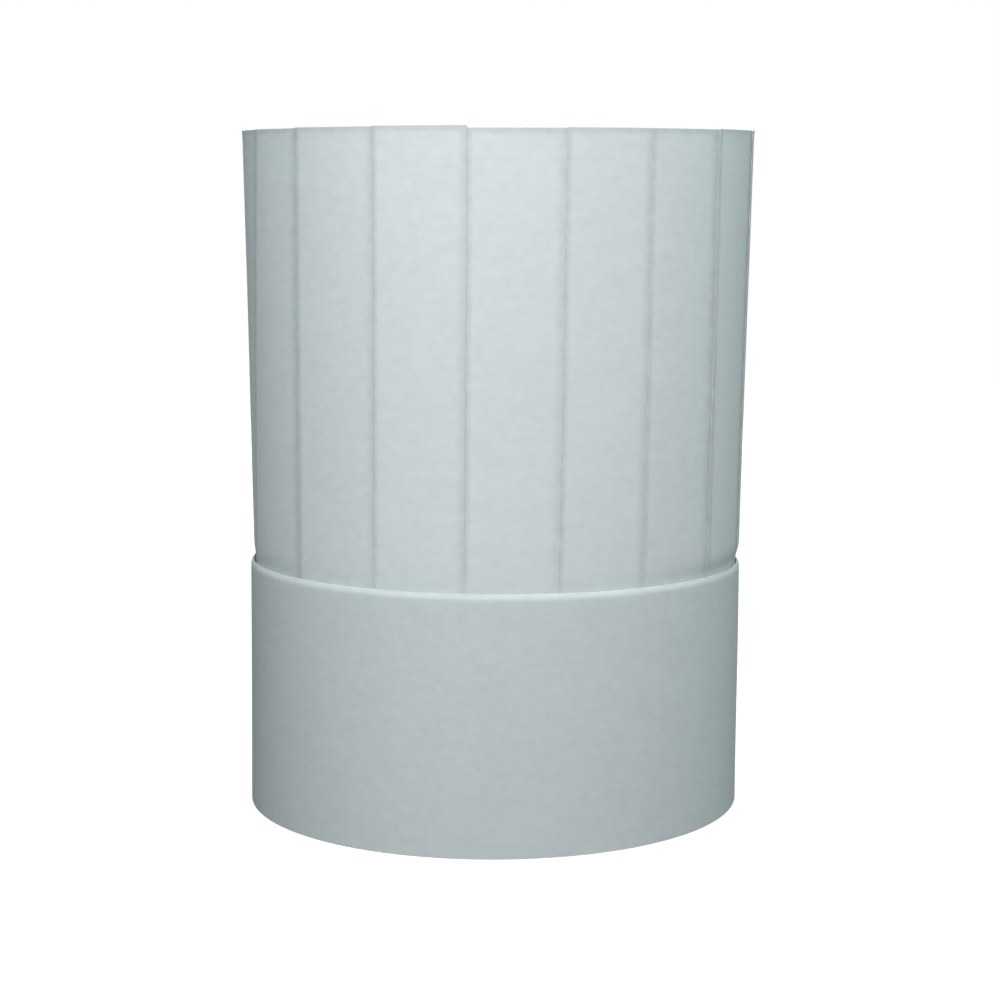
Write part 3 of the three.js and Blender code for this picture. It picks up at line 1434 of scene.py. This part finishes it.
@dataclass
class TopPanel:
    """The flat top: a paper disc whose edge is turned down, crimped to fit and glued in the wall.

    Attributes:
        sizes: The hat's sizes.
        wall: The wall that it is glued into.
        paper: The thickness of the paper.
        glue_gap: The thickness of the glue between the wall and the turned-down edge.
        around: The number of points round the disc.
        rings: The number of rings on its face.
        corner_steps: The number of steps round the turned corner.
        corner: The corner's radius.
        skirt_steps: The number of steps up the turned-down edge.
        crimps: The number of crimps round the edge.
        crimp_depth: The depth of a crimp.
        crimp_reach: How far in from the edge a crimp reaches on the face.
        crimp_unlike: How unlike each other the crimps are.
        crimp_turns: How quickly that changes round the edge.
        sag: How far the middle of the disc sags.
        sag_unlike: How unevenly it sags.
        sag_wavelength: The length over which that changes.
    """

    sizes: HatSizes
    wall: PleatedWall
    paper: float = 0.34 * MM
    glue_gap: float = 0.10 * MM
    around: int = 240
    rings: int = 16
    corner_steps: int = 5
    corner: float = 1.6 * MM
    skirt_steps: int = 5
    crimps: int = 60
    crimp_depth: float = 0.28 * MM
    crimp_reach: float = 9 * MM
    crimp_unlike: float = 0.6
    crimp_turns: float = 5
    sag: float = 1.6 * MM
    sag_unlike: float = 0.5
    sag_wavelength: float = 60 * MM

    def build(self) -> bpy.types.Object:
        """Draw the disc ring by ring, turn its edge down, thicken it and dress it.

        Returns:
            The finished top.
        """
        sizes = self.sizes
        radius = sizes.top_radius - self.paper / 2
        bpy.ops.mesh.primitive_circle_add(
            vertices=self.around,
            radius=radius,
            fill_type="NOTHING",
            location=(0, 0, sizes.top_foot),
        )
        top = bpy.context.object
        top.name = top.data.name = "top_panel_paper"
        bpy.ops.object.transform_apply(location=True, rotation=True, scale=True)
        bpy.ops.object.mode_set(mode="EDIT")
        bpy.ops.mesh.select_all(action="SELECT")
        corner_foot = sizes.top_face - self.paper / 2 - self.corner
        lift = (corner_foot - sizes.top_foot) / self.skirt_steps
        for _ in range(self.skirt_steps):
            self.extrude_ring(lift, 1.0)
        here = radius
        for step in range(1, self.corner_steps + 1):
            before, turned = (math.pi / 2 * s / self.corner_steps for s in (step - 1, step))
            rise = self.corner * (math.sin(turned) - math.sin(before))
            inner = here - self.corner * (math.cos(before) - math.cos(turned))
            self.extrude_ring(rise, inner / here)
            here = inner
        for step in range(1, self.rings):
            inner = (radius - self.corner) * (1 - step / self.rings)
            self.extrude_ring(0.0, inner / here)
            here = inner
        bpy.ops.mesh.extrude_region_move()
        bpy.ops.mesh.merge(type="CENTER")
        bpy.ops.object.mode_set(mode="OBJECT")
        self.settle(top)
        thicken(top, self.paper)
        hand_in(top, "top_panel", TOP_PAPER)
        cut = 2 * (self.edge_at(0.0, sizes.top_face) + sizes.top_face - sizes.top_foot)
        log.info("top disc: %.0f mm across flat", cut / MM)
        return top

    def extrude_ring(self, rise: float, scale: float) -> None:
        """Extrude the selected ring of edges up and draw it in towards the axis.

        Args:
            rise: How far up the new ring goes.
            scale: The new ring's radius over the old one's.
        """
        bpy.ops.mesh.extrude_region_move(TRANSFORM_OT_translate={"value": (0, 0, rise)})
        bpy.ops.transform.resize(value=(scale, scale, 1), center_override=(0, 0, 0))

    def settle(self, top: bpy.types.Object) -> None:
        """Glue the plainly drawn top into the wall, and keep its flat shape as its UV map.

        Args:
            top: The plainly drawn top.
        """
        flat: dict[int, tuple[float, float]] = {}
        for vertex in top.data.vertices:
            x, y, height = vertex.co
            radius = math.hypot(x, y)
            angle = math.atan2(x, -y)
            unrolled = radius + self.sizes.top_face - height
            flat[vertex.index] = (unrolled * math.sin(angle), unrolled * math.cos(angle))
            vertex.co = self.place(radius, angle, height)
        if not top.data.uv_layers:
            top.data.uv_layers.new(name="UVMap")
        layer = top.data.uv_layers[0]
        layer.name = "UVMap"
        for loop in top.data.loops:
            layer.data[loop.index].uv = flat[loop.vertex_index]

    def edge_at(self, angle: float, height: float) -> float:
        """The radius of the middle of the turned-down edge, against the wall's inside."""
        return self.wall.inside_at(angle, height) - self.glue_gap - self.paper / 2

    def place(self, radius: float, angle: float, height: float) -> Vector:
        """Where a point of the plainly drawn top lies once it is glued in.

        Args:
            radius: The point's distance from the axis as drawn.
            angle: Its angle from the front.
            height: Its height as drawn.

        Returns:
            The point on the middle of the paper.
        """
        full = self.sizes.top_radius - self.paper / 2
        share = radius / full
        sideways, forwards = math.sin(angle), math.cos(angle)
        turns = self.crimp_turns
        uneven = 1 + self.crimp_unlike * drift(Pattern.CRIMP, sideways * turns, forwards * turns)
        reached = ease(radius, full - self.crimp_reach, full)
        crimp = self.crimp_depth * reached * uneven * max(0.0, math.cos(self.crimps * angle))
        turned = ease(self.sizes.top_face - height, 0, self.corner)
        away = Vector((sideways, forwards)) * radius / self.sag_wavelength
        unlike = 1 + self.sag_unlike * drift(Pattern.SAG, away.x, away.y)
        sag = self.sag * (1 - share * share) * unlike
        glued = share * self.edge_at(angle, height) - crimp * turned
        return on_hat(glued, angle, height - sag - crimp * (1 - turned))


@dataclass(frozen=True)
class SoftBox:
    """One soft studio light.

    Attributes:
        name: The light's name.
        place: Where it stands.
        target: The point that it is turned to.
        side: The length of its square's side.
        watts: Its power.
        colour: Its colour.
    """

    name: str
    place: tuple[float, float, float]
    target: tuple[float, float, float]
    side: float
    watts: float
    colour: str

    def build(self) -> bpy.types.Object:
        """Set the light up and turn it to its target.

        Returns:
            The light.
        """
        bpy.ops.object.light_add(type="AREA", location=self.place)
        lamp = bpy.context.object
        lamp.name = self.name
        lamp.data.shape = "SQUARE"
        lamp.data.size = self.side
        lamp.data.energy = self.watts
        lamp.data.color = srgb(self.colour)[:3]
        look = Vector(self.target) - Vector(self.place)
        lamp.rotation_euler = look.to_track_quat("-Z", "Y").to_euler()
        return lamp


@dataclass(frozen=True)
class PhotoCamera:
    """The photograph's camera, fitted to the rim and to the band's two edges.

    Attributes:
        distance: How far in front of the hat's axis the camera stands.
        height: How high it stands.
        aside: How far to the hat's left-hand side it stands.
        pitch: How far down it looks.
        focal_px: Its focal length, in the photograph's pixels.
        sensor_mm: The width of its sensor, in millimetres.
        far_clip: How far away it still sees the floor.
    """

    distance: float = 870.5 * MM
    height: float = 234.7 * MM
    aside: float = 1.55 * MM
    pitch: float = math.radians(7.99)
    focal_px: float = 2326.0
    sensor_mm: float = 36.0
    far_clip: float = 100.0

    def build(self) -> bpy.types.Object:
        """Set the camera up and make it the scene's.

        Returns:
            The camera.
        """
        bpy.ops.object.camera_add(location=(self.aside, -self.distance, self.height))
        camera = bpy.context.object
        camera.name = "photo_camera"
        camera.rotation_euler = (math.pi / 2 - self.pitch, 0, 0)
        camera.data.sensor_fit = "HORIZONTAL"
        camera.data.sensor_width = self.sensor_mm
        camera.data.lens = self.focal_px / PHOTO_SIDE_PX * self.sensor_mm
        camera.data.clip_end = self.far_clip
        bpy.context.scene.camera = camera
        return camera


@dataclass
class Studio:
    """A plain pale floor and soft light: from in front and above, from the sides and from behind.

    Attributes:
        floor_side: The length of the floor's side.
        floor_colour: The floor's colour under the lights.
        backdrop_glow: How bright the floor and the background are to the camera.
        above: The soft light from above, as linear red, green and blue.
        below: The soft light from below, the same way.
        lights: The studio lights.
    """

    floor_side: float = 60.0
    floor_colour: str = "#767676"
    backdrop_glow: float = 1.0
    above: tuple[float, float, float] = (0.054, 0.062, 0.062)
    below: tuple[float, float, float] = (0.038, 0.041, 0.041)
    lights: tuple[SoftBox, ...] = (
        SoftBox("key_light", (0, -1.05, 0.95), (0, 0, 0.15), 0.9, 9.7, "#FFFBFD"),
        SoftBox("top_light", (0, -0.55, 1.2), (0, 0, 0.15), 0.7, 5.5, "#FFFBFD"),
        SoftBox("left_light", (-0.75, -0.75, 0.75), (0, 0, 0.15), 0.5, 3.3, "#EAFFFC"),
        SoftBox("right_light", (0.75, -0.75, 0.75), (0, 0, 0.15), 0.5, 1.7, "#EAFFFC"),
        SoftBox("far_right_light", (1.2, 0.1, 0.5), (0, 0, 0.15), 0.5, 2.9, "#EAFFFC"),
        SoftBox("rear_light", (0, 1.25, 0.45), (0, 0, 0.15), 0.9, 12.0, "#FFFFFF"),
    )

    def build(self) -> None:
        """Set up the floor, the surroundings, the lights and the camera."""
        self.floor()
        self.surroundings()
        for light in self.lights:
            light.build()
        PhotoCamera().build()
        bpy.context.scene.view_settings.view_transform = "Standard"

    def floor(self) -> bpy.types.Object:
        """Lay a wide pale floor that throws no light back on the hat.

        Returns:
            The floor.
        """
        bpy.ops.mesh.primitive_plane_add(size=self.floor_side)
        floor = bpy.context.object
        floor.name = "floor"
        material = bpy.data.materials.new("matt_studio_floor")
        material.use_nodes = True
        shader = material.node_tree.nodes["Principled BSDF"]
        shader.inputs["Base Color"].default_value = srgb(self.floor_colour)
        shader.inputs["Roughness"].default_value = 1.0
        shader.inputs["Specular IOR Level"].default_value = 0.0
        shader.inputs["Emission Color"].default_value = (1, 1, 1, 1)
        shader.inputs["Emission Strength"].default_value = self.backdrop_glow
        floor.data.materials.append(material)
        floor.visible_diffuse = False
        floor.visible_glossy = False
        floor.visible_shadow = False
        return floor

    def surroundings(self) -> None:
        """Soft light from all round, cooler and dimmer from below, before a white background."""
        world = bpy.data.worlds.new("studio")
        bpy.context.scene.world = world
        world.use_nodes = True
        tree = world.node_tree
        backdrop = tree.nodes["Background"]
        direction = add_node(tree, "ShaderNodeTexCoord").outputs["Generated"]
        split = add_node(tree, "ShaderNodeSeparateXYZ", links={0: direction})
        upward = add_node(
            tree,
            "ShaderNodeMapRange",
            {"in From Min": -1.0, "in From Max": 1.0},
            {"Value": split.outputs["Z"]},
        )
        light = add_node(
            tree, "ShaderNodeMix", {"data_type": "RGBA"}, {0: upward.outputs["Result"]}
        )
        light.inputs[MIX_FIRST].default_value = (*self.below, 1)
        light.inputs[MIX_SECOND].default_value = (*self.above, 1)
        tree.links.new(light.outputs[MIX_RESULT], backdrop.inputs["Color"])
        seen = add_node(tree, "ShaderNodeBackground", {"in Strength": self.backdrop_glow})
        seen.inputs["Color"].default_value = (1, 1, 1, 1)
        path = add_node(tree, "ShaderNodeLightPath")
        chosen = add_node(
            tree,
            "ShaderNodeMixShader",
            links={0: path.outputs["Is Camera Ray"], 1: backdrop.outputs[0], 2: seen.outputs[0]},
        )
        tree.links.new(chosen.outputs[0], tree.nodes["World Output"].inputs["Surface"])


def main() -> None:
    """Build the studio and the hat's pieces in order."""
    logging.basicConfig(level=logging.INFO, format="%(name)s: %(message)s")
    bpy.ops.object.select_all(action="DESELECT")
    Studio().build()
    sizes = HatSizes.from_frame(frame["nodes"])
    wall = PleatedWall(sizes)
    FoldedBand(sizes).build()
    wall.build()
    TopPanel(sizes, wall).build()


if __name__ == "__main__":
    main()
